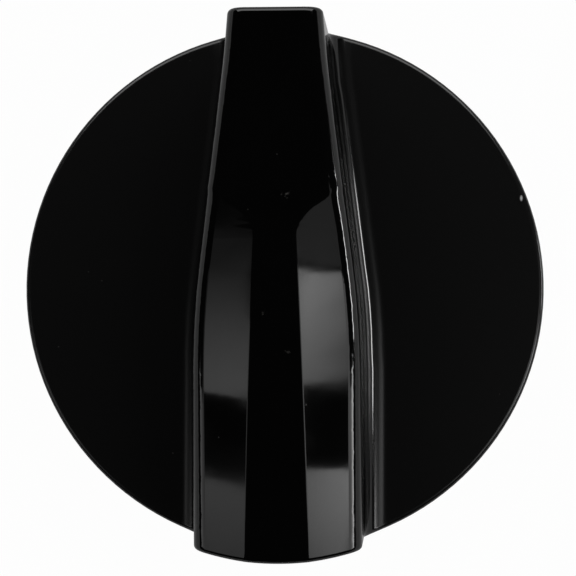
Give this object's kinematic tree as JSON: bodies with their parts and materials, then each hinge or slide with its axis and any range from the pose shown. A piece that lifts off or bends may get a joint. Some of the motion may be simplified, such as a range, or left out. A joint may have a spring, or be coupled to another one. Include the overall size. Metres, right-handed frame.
{
  "type": "range control knob",
  "caption": "Glossy black round knob with a tapered grip bar across it, a hollow back and a split stem with a spring band that pushes onto a D-shaped shaft.",
  "frame": {"origin": "on the shaft's axis, in the plane of the skirt's rim", "axes": "+Z along the shaft's axis out of the knob's face, +Y towards the pointer end of the grip bar"},
  "size_m": [0.051, 0.0505, 0.0274],
  "materials": {
    "black_plastic": "moulded, high gloss",
    "spring_steel": "rolled strip, satin"
  },
  "bodies": {
    "root": {"knob_body": "black_plastic", "stem_spring": "spring_steel"}
  },
  "joints": []
}
